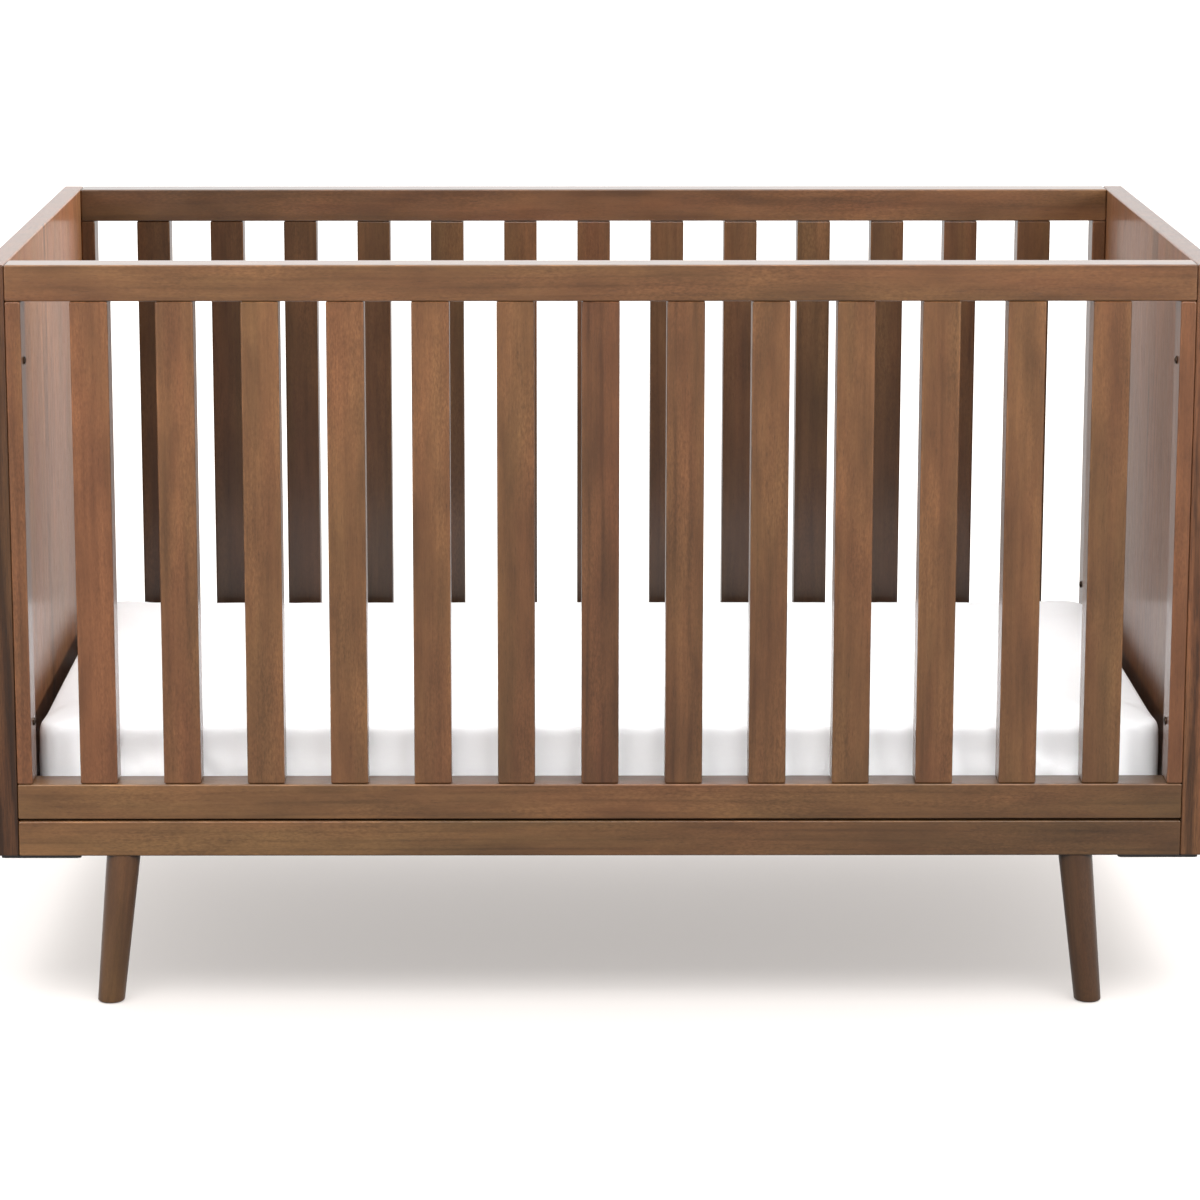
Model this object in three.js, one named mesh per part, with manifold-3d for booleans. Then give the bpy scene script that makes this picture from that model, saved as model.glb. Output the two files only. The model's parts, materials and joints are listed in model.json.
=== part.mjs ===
// A full-size baby crib: two solid end panels, two slatted side frames, a base on splayed legs,
// a height-adjustable steel mattress support, and a mattress.
// Millimetres. +Z is up, +X runs along the length, the front is at -Y, and z = 0 is the floor.

import * as THREE from 'three';
import { ConvexGeometry } from 'three/addons/geometries/ConvexGeometry.js';
import { mergeVertices } from 'three/addons/utils/BufferGeometryUtils.js';
import Module from 'manifold-3d';

const wasm = await Module();
wasm.setup();

// ---- driving dimensions -------------------------------------------------------------------

const INTERIOR_LENGTH = 1330; // between the end panels
const INTERIOR_DEPTH = 711; // between the side frames
const BODY_BOTTOM = 174; // underside of the body, above the floor
const BODY_TOP = 855;
const FIT_GAP = 0.3; // between pieces that meet face to face

const PANEL_THICKNESS = 25;
const RAIL_DEPTH = 42;
const RAIL_HEIGHT = 41;
const BASE_REVEAL = 2.4; // shadow gap between the base rails and the side frames
const BOARD_EASE = 2; // chamfer on every wooden edge
const CURVE_SEGMENTS = 6; // along a round hole

const SLAT_COUNT = 13;
const SLAT_WIDTH = 42.4;
const SLAT_DEPTH = 38;
const SLAT_PITCH = 95.26;
const STILE_WIDTH = 17.4;

const LEG_TOP_RADIUS = 19.5;
const LEG_FOOT_RADIUS = 15.5;
const LEG_TOP_X = 547;
const LEG_SPLAY_X = 17; // how far the foot stands outside the top, along the length
const LEG_SPLAY_Y = 13; // and along the depth
const LEG_FOOT_EASE = 1.5;
const LEG_SEGMENTS = 24; // around the turning

const PLATE_INNER_X = 594.5;
const PLATE_THICKNESS = 3;
const PLATE_SETBACK = 4; // from the outer faces of the body
const PLATE_CORNER = 5;
const PLATE_CORNER_SEGMENTS = 3;

const DECK_TOP = 190; // what the mattress lies on, at the lowest setting
const ANGLE_BAR_WIDTH = 20;
const ANGLE_BAR_HEIGHT = 16;
const ANGLE_BAR_THICKNESS = 2;
const SUPPORT_CLEARANCE_Y = 5.5;
const HANGER_THICKNESS = 3;
const HANGER_WIDTH = 30;
const HANGER_Y = 300;
const HANGER_TOP = 256;
const HANGER_CLIP = 6; // cut off both upper corners
const WELD_DEPTH = 0.3; // how far the side bars sink into their hangers
const BOLT_Z = 240;
const BOLT_SHANK_RADIUS = 3.4;
const BOLT_HOLE_RADIUS = 4.2;
const BOLT_HEAD_RADIUS = 7.5;
const BOLT_HEAD_HEIGHT = 4;
const BOLT_HEAD_FLAT = 4.5; // radius of the flat on top of the head
const BOLT_SEGMENTS = 12;

const DECK_THICKNESS = 2.7;
const DECK_WIRE = 5;
const DECK_SPRING_LENGTH = 32; // from the deck's edge wire to the angle bars
const DECK_CELLS_X = 10;
const DECK_CELLS_Y = 6;

const MATTRESS_LENGTH = 1310;
const MATTRESS_DEPTH = 692;
const MATTRESS_HEIGHT = 127;
const MATTRESS_CORNER = 32;
const MATTRESS_EDGE = 9;
const COVER_THICKNESS = 3;
const ZIP_LENGTH = 1100;
const ZIP_HEIGHT = 1.5;
const ZIP_LEVEL = 32; // above the underside of the mattress

// ---- worked out from those ----------------------------------------------------------------

const INNER_X = INTERIOR_LENGTH / 2;
const OUTER_X = INNER_X + PANEL_THICKNESS;
const INNER_Y = INTERIOR_DEPTH / 2;
const OUTER_Y = INNER_Y + RAIL_DEPTH;
const RAIL_Y = (INNER_Y + OUTER_Y) / 2;
const FRAME_BOTTOM = BODY_BOTTOM + RAIL_HEIGHT + BASE_REVEAL;
const SLAT_BOTTOM = FRAME_BOTTOM + RAIL_HEIGHT;
const SLAT_TOP = BODY_TOP - RAIL_HEIGHT;
const HANGER_OUTER_X = INNER_X - FIT_GAP;
const HANGER_INNER_X = HANGER_OUTER_X - HANGER_THICKNESS;
const SUPPORT_X = HANGER_INNER_X + WELD_DEPTH;
const SUPPORT_Y = INNER_Y - SUPPORT_CLEARANCE_Y;

// ---- finishes -----------------------------------------------------------------------------

const walnut = new THREE.MeshStandardMaterial({ color: 0x7d5d47, roughness: 0.45, metalness: 0 });
const veneer = new THREE.MeshStandardMaterial({ color: 0x6b4b37, roughness: 0.5, metalness: 0 });
const blackSteel = new THREE.MeshStandardMaterial({ color: 0x1a1a1b, roughness: 0.5, metalness: 0.6 });
const zincSteel = new THREE.MeshStandardMaterial({ color: 0xa9acb0, roughness: 0.35, metalness: 1 });
const whiteFabric = new THREE.MeshStandardMaterial({ color: 0xf4f4f5, roughness: 0.9, metalness: 0 });
const foam = new THREE.MeshStandardMaterial({ color: 0xe9e4d2, roughness: 1, metalness: 0 });

// ---- shaping ------------------------------------------------------------------------------

const crib = new THREE.Group();

function addPiece(name, geometry, material, x = 0, y = 0, z = 0) {
  const mesh = new THREE.Mesh(geometry, material);
  mesh.name = name;
  mesh.position.set(x, y, z);
  crib.add(mesh);
  return mesh;
}

// A board centred on its origin, with every edge chamfered.
function easedBoard(sizeX, sizeY, sizeZ, ease = BOARD_EASE) {
  const [hx, hy, hz] = [sizeX / 2, sizeY / 2, sizeZ / 2];
  const corners = [];
  for (const sx of [-1, 1]) {
    for (const sy of [-1, 1]) {
      for (const sz of [-1, 1]) {
        corners.push(new THREE.Vector3(sx * hx, sy * (hy - ease), sz * (hz - ease)));
        corners.push(new THREE.Vector3(sx * (hx - ease), sy * hy, sz * (hz - ease)));
        corners.push(new THREE.Vector3(sx * (hx - ease), sy * (hy - ease), sz * hz));
      }
    }
  }
  return new ConvexGeometry(corners);
}

function roundedRectangle(length, depth, radius) {
  const [hx, hy] = [length / 2, depth / 2];
  const shape = new THREE.Shape();
  shape.moveTo(hx, radius - hy);
  shape.absarc(hx - radius, hy - radius, radius, 0, Math.PI / 2);
  shape.absarc(radius - hx, hy - radius, radius, Math.PI / 2, Math.PI);
  shape.absarc(radius - hx, radius - hy, radius, Math.PI, 1.5 * Math.PI);
  shape.absarc(hx - radius, radius - hy, radius, 1.5 * Math.PI, 2 * Math.PI);
  return shape;
}

// A slab standing on z = 0, with upright corners of one radius and top and bottom edges of another.
function roundedSlab(length, depth, height, corner, edge) {
  const outline = roundedRectangle(length - 2 * edge, depth - 2 * edge, corner - edge);
  const slab = new THREE.ExtrudeGeometry(outline, {
    depth: height - 2 * edge,
    bevelThickness: edge,
    bevelSize: edge,
    bevelSegments: 2,
    curveSegments: 4,
  });
  slab.translate(0, 0, edge);
  return slab;
}

function extruded(shape, height, curveSegments = CURVE_SEGMENTS) {
  return new THREE.ExtrudeGeometry(shape, { depth: height, bevelEnabled: false, curveSegments });
}

function toSolid(geometry) {
  const bare = geometry.index ? geometry.toNonIndexed() : geometry.clone();
  bare.deleteAttribute('normal');
  bare.deleteAttribute('uv');
  const merged = mergeVertices(bare);
  return new wasm.Manifold(new wasm.Mesh({
    numProp: 3,
    vertProperties: new Float32Array(merged.attributes.position.array),
    triVerts: new Uint32Array(merged.index.array),
  }));
}

function toGeometry(solid) {
  const mesh = solid.getMesh();
  const geometry = new THREE.BufferGeometry();
  geometry.setAttribute('position', new THREE.BufferAttribute(mesh.vertProperties, 3));
  geometry.setIndex(new THREE.BufferAttribute(mesh.triVerts, 1));
  geometry.computeVertexNormals();
  return geometry;
}

// ---- wooden body --------------------------------------------------------------------------

const ENDS = [['left', -1], ['right', 1]];
const SIDES = [['front', -1], ['back', 1]];

function addEndPanels() {
  const height = BODY_TOP - BODY_BOTTOM;
  for (const [end, sign] of ENDS) {
    const board = easedBoard(PANEL_THICKNESS, 2 * OUTER_Y, height);
    addPiece(`end_panel_${end}`, board, veneer, sign * (INNER_X + PANEL_THICKNESS / 2), 0,
      BODY_BOTTOM + height / 2);
  }
}

function addRail(name, y, bottom) {
  const board = easedBoard(INTERIOR_LENGTH - 2 * FIT_GAP, RAIL_DEPTH, RAIL_HEIGHT);
  addPiece(name, board, walnut, 0, y, bottom + RAIL_HEIGHT / 2);
}

function addSideFrame(side, sign) {
  const upright = SLAT_TOP - SLAT_BOTTOM - 2 * FIT_GAP;
  const middle = (SLAT_TOP + SLAT_BOTTOM) / 2;
  addRail(`${side}_top_rail`, sign * RAIL_Y, SLAT_TOP);
  addRail(`${side}_bottom_rail`, sign * RAIL_Y, FRAME_BOTTOM);
  for (const [end, endSign] of ENDS) {
    const stileX = endSign * (INNER_X - FIT_GAP - STILE_WIDTH / 2);
    addPiece(`${side}_stile_${end}`, easedBoard(STILE_WIDTH, RAIL_DEPTH, upright), walnut,
      stileX, sign * RAIL_Y, middle);
  }
  for (let i = 1; i <= SLAT_COUNT; i += 1) {
    const name = `${side}_slat_${String(i).padStart(2, '0')}`;
    const slatX = (i - (SLAT_COUNT + 1) / 2) * SLAT_PITCH;
    addPiece(name, easedBoard(SLAT_WIDTH, SLAT_DEPTH, upright), walnut, slatX, sign * RAIL_Y, middle);
  }
}

// ---- base ---------------------------------------------------------------------------------

function leg(height) {
  const profile = [
    new THREE.Vector2(0, 0),
    new THREE.Vector2(LEG_FOOT_RADIUS - LEG_FOOT_EASE, 0),
    new THREE.Vector2(LEG_FOOT_RADIUS, LEG_FOOT_EASE),
    new THREE.Vector2(LEG_TOP_RADIUS, height),
    new THREE.Vector2(0, height),
  ];
  const turned = new THREE.LatheGeometry(profile, LEG_SEGMENTS);
  turned.rotateX(Math.PI / 2); // the lathe's axis becomes +Z
  return turned;
}

function addLeg(name, signX, signY) {
  const height = BODY_BOTTOM - FIT_GAP;
  const geometry = leg(height);
  const lean = new THREE.Matrix4().set(
    1, 0, (-signX * LEG_SPLAY_X) / height, signX * (LEG_TOP_X + LEG_SPLAY_X),
    0, 1, (-signY * LEG_SPLAY_Y) / height, signY * (RAIL_Y + LEG_SPLAY_Y),
    0, 0, 1, 0,
    0, 0, 0, 1,
  );
  geometry.applyMatrix4(lean);
  addPiece(name, geometry, walnut);
}

function addCornerPlate(name, signX, signY) {
  const outerX = OUTER_X - PLATE_SETBACK;
  const depth = RAIL_DEPTH - 2 * PLATE_SETBACK;
  const outline = roundedRectangle(outerX - PLATE_INNER_X, depth, PLATE_CORNER);
  addPiece(name, extruded(outline, PLATE_THICKNESS, PLATE_CORNER_SEGMENTS), blackSteel,
    (signX * (outerX + PLATE_INNER_X)) / 2, signY * RAIL_Y, BODY_BOTTOM - FIT_GAP - PLATE_THICKNESS);
}

function addBase() {
  for (const [side, signY] of SIDES) {
    addRail(`${side}_base_rail`, signY * RAIL_Y, BODY_BOTTOM);
    for (const [end, signX] of ENDS) {
      addLeg(`leg_${side}_${end}`, signX, signY);
      addCornerPlate(`corner_plate_${side}_${end}`, signX, signY);
    }
  }
}

// ---- mattress support ---------------------------------------------------------------------

// An angle section: the upright leg is on the outer side (x = 0) and the flat leg is on top.
function angleSection() {
  const section = new THREE.Shape();
  section.moveTo(0, 0);
  section.lineTo(0, -ANGLE_BAR_HEIGHT);
  section.lineTo(-ANGLE_BAR_THICKNESS, -ANGLE_BAR_HEIGHT);
  section.lineTo(-ANGLE_BAR_THICKNESS, -ANGLE_BAR_THICKNESS);
  section.lineTo(-ANGLE_BAR_WIDTH, -ANGLE_BAR_THICKNESS);
  section.lineTo(-ANGLE_BAR_WIDTH, 0);
  section.closePath();
  return section;
}

// The bar runs along Y, with its flat leg reaching from x = 0 towards -X and its top at z = 0.
function angleBar(length) {
  const bar = extruded(angleSection(), length);
  bar.rotateX(Math.PI / 2); // section stands upright, and the bar runs along -Y
  bar.translate(0, length / 2, 0);
  return bar;
}

// A plate with a bolt hole near its top and clipped upper corners, standing on z = 0.
function hangerPlate() {
  const height = HANGER_TOP - (DECK_TOP - ANGLE_BAR_HEIGHT);
  const half = HANGER_WIDTH / 2;
  const outline = new THREE.Shape();
  outline.moveTo(-half, 0);
  outline.lineTo(half, 0);
  outline.lineTo(half, height - HANGER_CLIP);
  outline.lineTo(half - HANGER_CLIP, height);
  outline.lineTo(HANGER_CLIP - half, height);
  outline.lineTo(-half, height - HANGER_CLIP);
  outline.closePath();
  const hole = new THREE.Path();
  hole.absarc(0, BOLT_Z - (DECK_TOP - ANGLE_BAR_HEIGHT), BOLT_HOLE_RADIUS, 0, 2 * Math.PI, true);
  outline.holes.push(hole);
  const plate = extruded(outline, HANGER_THICKNESS);
  plate.rotateX(Math.PI / 2); // outline stands in the XZ plane
  plate.rotateZ(Math.PI / 2); // and then in the YZ plane, thick from x = 0 to +X
  return plate;
}

function sideBarWithHangers() {
  const bar = angleBar(2 * SUPPORT_Y);
  bar.translate(SUPPORT_X, 0, DECK_TOP);
  let solid = toSolid(bar);
  for (const sign of [-1, 1]) {
    const hanger = hangerPlate();
    hanger.translate(HANGER_INNER_X, sign * HANGER_Y, DECK_TOP - ANGLE_BAR_HEIGHT);
    solid = solid.add(toSolid(hanger));
  }
  return solid;
}

function addSupportFrame() {
  const right = sideBarWithHangers();
  addPiece('support_bar_right', toGeometry(right), zincSteel);
  addPiece('support_bar_left', toGeometry(right.mirror([1, 0, 0])), zincSteel);
  const length = 2 * (SUPPORT_X - ANGLE_BAR_WIDTH - FIT_GAP);
  for (const [side, sign] of SIDES) {
    const bar = angleBar(length);
    bar.rotateZ((sign * Math.PI) / 2); // the flat leg points to the middle of the crib
    addPiece(`support_bar_${side}`, bar, zincSteel, 0, sign * SUPPORT_Y, DECK_TOP);
  }
}

// A grid of wires that run from bar to bar. The stretch outside the edge wires is where the coil
// springs pull.
function addDeck() {
  const barX = SUPPORT_X - ANGLE_BAR_WIDTH;
  const barY = SUPPORT_Y - ANGLE_BAR_WIDTH;
  const linesX = wireLines(DECK_CELLS_X, barX - DECK_SPRING_LENGTH, barX - FIT_GAP);
  const linesY = wireLines(DECK_CELLS_Y, barY - DECK_SPRING_LENGTH, barY - FIT_GAP);
  addPiece('spring_deck', wireGrid(linesX, linesY, DECK_THICKNESS), zincSteel, 0, 0,
    DECK_TOP - DECK_THICKNESS);
}

// Both edges of every wire across one direction, and the tips of the crossing wires at either end.
function wireLines(cells, edge, tip) {
  const pitch = (2 * edge - DECK_WIRE) / cells;
  const wires = Array.from({ length: cells + 1 }, (_, i) => i * pitch - edge);
  return [-tip, ...wires.flatMap((start) => [start, start + DECK_WIRE]), tip];
}

// Every second strip between the lines is a wire, and a cell of the grid is solid where one passes.
function wireGrid(linesX, linesY, thickness) {
  const positions = [];
  const inside = (i, j) => i >= 0 && j >= 0 && i < linesX.length - 1 && j < linesY.length - 1;
  const solid = (i, j) => inside(i, j) && (i % 2 === 1 || j % 2 === 1);
  const addQuad = (a, b, c, d) => positions.push(...a, ...b, ...c, ...a, ...c, ...d);
  const addWall = ([ax, ay], [bx, by]) => {
    addQuad([ax, ay, 0], [bx, by, 0], [bx, by, thickness], [ax, ay, thickness]);
  };
  for (let i = 0; i < linesX.length - 1; i += 1) {
    for (let j = 0; j < linesY.length - 1; j += 1) {
      if (!solid(i, j)) continue;
      const [left, right, near, far] = [linesX[i], linesX[i + 1], linesY[j], linesY[j + 1]];
      addQuad([left, near, thickness], [right, near, thickness], [right, far, thickness],
        [left, far, thickness]);
      addQuad([left, far, 0], [right, far, 0], [right, near, 0], [left, near, 0]);
      if (!solid(i, j - 1)) addWall([left, near], [right, near]);
      if (!solid(i + 1, j)) addWall([right, near], [right, far]);
      if (!solid(i, j + 1)) addWall([right, far], [left, far]);
      if (!solid(i - 1, j)) addWall([left, far], [left, near]);
    }
  }
  const geometry = new THREE.BufferGeometry();
  geometry.setAttribute('position', new THREE.Float32BufferAttribute(positions, 3));
  geometry.computeVertexNormals();
  return geometry;
}

// A low round-headed bolt. Its shank ends at the end panel, where the threaded insert begins.
function supportBolt() {
  const shankLength = HANGER_THICKNESS + FIT_GAP;
  const profile = [
    new THREE.Vector2(0, 0),
    new THREE.Vector2(BOLT_SHANK_RADIUS, 0),
    new THREE.Vector2(BOLT_SHANK_RADIUS, shankLength),
    new THREE.Vector2(BOLT_HEAD_RADIUS, shankLength),
    new THREE.Vector2(BOLT_HEAD_RADIUS, shankLength + BOLT_HEAD_HEIGHT / 2),
    new THREE.Vector2(BOLT_HEAD_FLAT, shankLength + BOLT_HEAD_HEIGHT),
    new THREE.Vector2(0, shankLength + BOLT_HEAD_HEIGHT),
  ];
  return new THREE.LatheGeometry(profile, BOLT_SEGMENTS);
}

function addSupportBolts() {
  for (const [side, signY] of SIDES) {
    for (const [end, signX] of ENDS) {
      const bolt = addPiece(`support_bolt_${side}_${end}`, supportBolt(), zincSteel,
        signX * HANGER_OUTER_X, signY * HANGER_Y, BOLT_Z);
      bolt.rotation.z = (signX * Math.PI) / 2; // the head points into the crib
    }
  }
}

// ---- mattress -----------------------------------------------------------------------------

function addMattress() {
  const bottom = DECK_TOP + FIT_GAP;
  const skin = COVER_THICKNESS + FIT_GAP;
  const outside = roundedSlab(MATTRESS_LENGTH, MATTRESS_DEPTH, MATTRESS_HEIGHT, MATTRESS_CORNER,
    MATTRESS_EDGE);
  const inside = roundedSlab(MATTRESS_LENGTH - 2 * COVER_THICKNESS, MATTRESS_DEPTH - 2 * COVER_THICKNESS,
    MATTRESS_HEIGHT - 2 * COVER_THICKNESS, MATTRESS_CORNER - COVER_THICKNESS,
    MATTRESS_EDGE - COVER_THICKNESS);
  inside.translate(0, 0, COVER_THICKNESS);
  const zip = new THREE.BoxGeometry(ZIP_LENGTH, 4 * COVER_THICKNESS, ZIP_HEIGHT);
  zip.translate(0, MATTRESS_DEPTH / 2, ZIP_LEVEL);
  const cover = toSolid(outside).subtract(toSolid(inside)).subtract(toSolid(zip));
  addPiece('mattress_cover', toGeometry(cover), whiteFabric, 0, 0, bottom);

  const core = roundedSlab(MATTRESS_LENGTH - 2 * skin, MATTRESS_DEPTH - 2 * skin,
    MATTRESS_HEIGHT - 2 * skin, MATTRESS_CORNER - skin, MATTRESS_EDGE - skin);
  addPiece('mattress_core', core, foam, 0, 0, bottom + skin);
}

addEndPanels();
for (const [side, sign] of SIDES) addSideFrame(side, sign);
addBase();
addSupportFrame();
addDeck();
addSupportBolts();
addMattress();

export default crib;
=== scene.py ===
import json
import math
import random

import bmesh
import bpy
import numpy as np
from mathutils import Matrix, Vector
from mathutils.bvhtree import BVHTree

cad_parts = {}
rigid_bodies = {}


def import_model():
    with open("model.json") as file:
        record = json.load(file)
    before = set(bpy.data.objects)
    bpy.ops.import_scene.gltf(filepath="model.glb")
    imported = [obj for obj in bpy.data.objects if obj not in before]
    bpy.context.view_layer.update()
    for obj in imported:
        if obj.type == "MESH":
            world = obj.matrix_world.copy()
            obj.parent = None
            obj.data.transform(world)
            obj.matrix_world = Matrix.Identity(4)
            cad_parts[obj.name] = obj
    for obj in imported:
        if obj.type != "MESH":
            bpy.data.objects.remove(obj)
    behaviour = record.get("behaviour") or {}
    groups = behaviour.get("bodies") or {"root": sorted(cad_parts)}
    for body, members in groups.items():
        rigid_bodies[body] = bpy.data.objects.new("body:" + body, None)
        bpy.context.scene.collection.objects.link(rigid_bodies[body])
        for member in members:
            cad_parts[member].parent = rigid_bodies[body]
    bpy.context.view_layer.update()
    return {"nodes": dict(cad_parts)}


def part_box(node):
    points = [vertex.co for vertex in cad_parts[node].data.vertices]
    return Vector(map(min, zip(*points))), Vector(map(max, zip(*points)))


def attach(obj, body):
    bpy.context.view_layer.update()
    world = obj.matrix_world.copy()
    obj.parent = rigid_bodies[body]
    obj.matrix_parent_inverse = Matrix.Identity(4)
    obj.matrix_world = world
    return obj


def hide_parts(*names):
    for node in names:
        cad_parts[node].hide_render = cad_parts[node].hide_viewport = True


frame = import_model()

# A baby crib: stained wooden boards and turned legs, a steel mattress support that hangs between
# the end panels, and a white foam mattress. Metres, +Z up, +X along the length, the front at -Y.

MM = 0.001

ENDS = {"left": -1, "right": 1}
SIDES = {"front": -1, "back": 1}
SLAT_COUNT = 13

# Boards: every edge is rounded by hand sanding, a little more on the turned legs' feet.
BOARD_ROUND = 2.2 * MM
BOARD_ROUND_STEPS = 4
LEG_TOP_RADIUS = 19.5 * MM
LEG_FOOT_RADIUS = 15.5 * MM
LEG_FOOT_ROUND = 2.5 * MM
LEG_SIDES = 64
LEG_STEPS = 24
LEG_FOOT_STEPS = 6

# Hardware.
INSERT_RADIUS = 5.6 * MM
INSERT_BORE = 3.5 * MM
INSERT_DEPTH = 14 * MM
INSERT_SUNK = 0.3 * MM
INSERT_LIP = 0.5 * MM
THREAD_PITCH = 1.0 * MM
THREAD_TURNS = 10
INSERT_SETTINGS = (0, 75 * MM, 150 * MM, 225 * MM)  # heights of the four mattress settings
SUPPORT_HEAD_RADIUS = 7.5 * MM
SUPPORT_HEAD_HEIGHT = 4 * MM
SUPPORT_SHANK_RADIUS = 3.4 * MM
STILE_HEAD_RADIUS = 4.6 * MM
STILE_HEAD_HEIGHT = 2.4 * MM
STILE_BOLT_INSET = 69 * MM  # from each end of a stile
PLATE_HEAD_RADIUS = 3.6 * MM
PLATE_HEAD_HEIGHT = 1.8 * MM
PLATE_SCREW_INSET = 12 * MM
ZINC_EASE = 0.4 * MM
PLATE_EASE = 0.5 * MM

# Spring deck: round wires in the plane that the mattress lies on.
DECK_COLUMNS = 10
DECK_ROWS = 6
DECK_WIRE = 2.7 * MM
LINK_WIRE = 1.8 * MM
EDGE_WIRE = 5 * MM
EDGE_WIRE_BEND = 14 * MM
EDGE_WIRE_STEPS = 6
SPRING_STRETCH = 32 * MM
SPRING_RADIUS = 4.2 * MM
SPRING_WIRE = 1.3 * MM
SPRING_TURNS = 9
SPRING_TURN_STEPS = 14
SPRING_HOOK = 4.5 * MM
BAR_THICKNESS = 2 * MM
HOOK_REACH = 6 * MM  # how far a spring's outer hook runs in under the angle bar

# Mattress.
MATTRESS_CORNER = 32 * MM
MATTRESS_EDGE = 9 * MM
MATTRESS_CORNER_STEPS = 8
MATTRESS_EDGE_STEPS = 5
MATTRESS_SLACK = 2.5 * MM  # how much smaller it starts, before it is blown up
MATTRESS_SWELL = 5 * MM
MATTRESS_VOXEL = 6 * MM
MATTRESS_PRESSURE = 4
MATTRESS_FRAMES = 20

# The zip along the back of the mattress cover.
ZIP_LENGTH = 1100 * MM
ZIP_LEVEL = 32 * MM  # above the underside of the mattress
ZIP_TAPE_HALF_WIDTH = 9 * MM
ZIP_COIL_RADIUS = 1.7 * MM
ZIP_COIL_WIRE = 0.9 * MM
ZIP_COIL_PITCH = 2.5 * MM
ZIP_COIL_STEPS = 6  # in one turn
ZIP_STATIONS = 100

# The wood's colour. Warmth runs from olive (-1) to red (1), tone from dark (-2) to light (2), and figure
# is how strongly the growth lines show. The front slats' rows run from left to right.
FRONT_SLAT_WARMTH = (0.9, 0.2, -0.1, 0.0, 0.2, 0.1, 0.5, 0.3, 0.0, 0.0, 0.3, -0.1, 0.0)
FRONT_SLAT_TONE = (0.2, 0.0, 0.2, 0.1, 0.0, -0.2, -1.0, -0.6, -0.2, -0.1, 0.1, 0.0, -0.1)
FRONT_SLAT_FIGURE = (0.2, 0.4, 0.3, 0.1, 0.2, 0.3, 1.0, 0.8, 0.3, 0.2, 0.4, 0.2, 0.1)
# A pair is for the two ends: left and right, or foot and top. The rails' pairs are partly painted shade:
# the front bottom and base rails darken towards the right, and the back top rail is dark at its left
# end, where the end panel's shadow falls.
RAIL_TONE_AND_SHADE = {
    "front": {"top_rail": (-0.4, -0.5), "bottom_rail": (0.4, -0.9), "base_rail": (0.6, -1.5)},
    "back": {"top_rail": (-1.8, -0.3), "bottom_rail": (-0.3, -0.3), "base_rail": (-0.3, -0.3)},
}
RAIL_WARMTH = {"top_rail": 0.0, "bottom_rail": -0.5, "base_rail": -0.6}
LEG_TONE = {"left": (-0.8, -1.1), "right": (-1.9, -2.0)}
STILE_WARMTH = {"front": 0.7, "back": 0.2}
STILE_TONE = -0.3
# Painted shade: each front slat is darker at its foot than at its top.
SLAT_FOOT_SHADE = 0.4
# Painted shade: the far slats are dark at the foot and plain at the top.
FAR_SLAT_SHADE = (-1.6, 0.0)
PANEL_WARMTH = 0.6
PANEL_TONE = 0.2
PANEL_FIGURE = 1.0
BAND_TONE = {"left": -1.7, "right": -0.1}  # the bands are the panels' upright edges
BAND_FIGURE = 2.0


# ---- camera, light and floor ----------------------------------------------------------------

CAMERA_PLACE = (-0.0561, -4.8633, 1.4369)
CAMERA_PITCH = math.radians(-11.32)
CAMERA_YAW = math.radians(-0.18)
CAMERA_LENS = 121.2
CAMERA_SHIFT = (0.0307, -0.05)
CEILING_STRENGTH = 1.6
CEILING_SPREAD = math.radians(50)
CEILING_TILT = (math.radians(14), math.radians(3), 0)
FLOOR_WASH = 1.42
FRONT_POWER = 57
TOP_POWER = 30
MATTRESS_POWER = 23
MATTRESS_LIGHT_COLOR = (0.93, 0.97, 1.0)
KEY_POWER = 98
FILL_POWER = 84
RIGHT_POWER = 400
FAR_POWER = 7
LEFT_POWER = 130
WORLD_SEEN = 1.15
WORLD_BACK = 1.65
WORLD_TOP = 0.5
WORLD_FRONT = 0.12
FLOOR_PALE = (0.88, 0.835, 0.805, 1)
FLOOR_MIRRORED = (0.44, 0.425, 0.415, 1)
FLOOR_FLAGGED = (0.09, 0.085, 0.08, 1)


def make_camera():
    data = bpy.data.cameras.new("camera")
    data.sensor_width = 36
    data.lens = CAMERA_LENS
    data.shift_x, data.shift_y = CAMERA_SHIFT
    camera = bpy.data.objects.new("camera", data)
    camera.location = CAMERA_PLACE
    camera.rotation_euler = (math.pi / 2 + CAMERA_PITCH, 0, CAMERA_YAW)
    bpy.context.scene.collection.objects.link(camera)
    bpy.context.scene.camera = camera


def softbox(name, power, size, place, target, mirrored=True):
    """An area light. One that isn't mirrored stays out of reflections."""
    data = bpy.data.lights.new(name, "AREA")
    data.shape = "RECTANGLE"
    data.size, data.size_y = size
    data.energy = power
    light = bpy.data.objects.new(name, data)
    light.location = place
    light.rotation_euler = (Vector(target) - Vector(place)).to_track_quat("-Z", "Y").to_euler()
    light.visible_camera = False
    light.visible_glossy = mirrored
    bpy.context.scene.collection.objects.link(light)
    return light


def light_links(lights, name, pieces, state):
    """Includes these pieces in what the lights fall on, or excludes them."""
    linked = bpy.data.collections.new(name)
    for piece in pieces:
        linked.objects.link(piece)
    for entry in linked.collection_objects:
        entry.light_linking.link_state = state
    for light in lights:
        light.light_linking.receiver_collection = linked


def distant_light(name, strength, spread, tilt):
    data = bpy.data.lights.new(name, "SUN")
    data.energy = strength
    data.angle = spread
    light = bpy.data.objects.new(name, data)
    light.rotation_euler = tilt
    bpy.context.scene.collection.objects.link(light)
    return light


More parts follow.
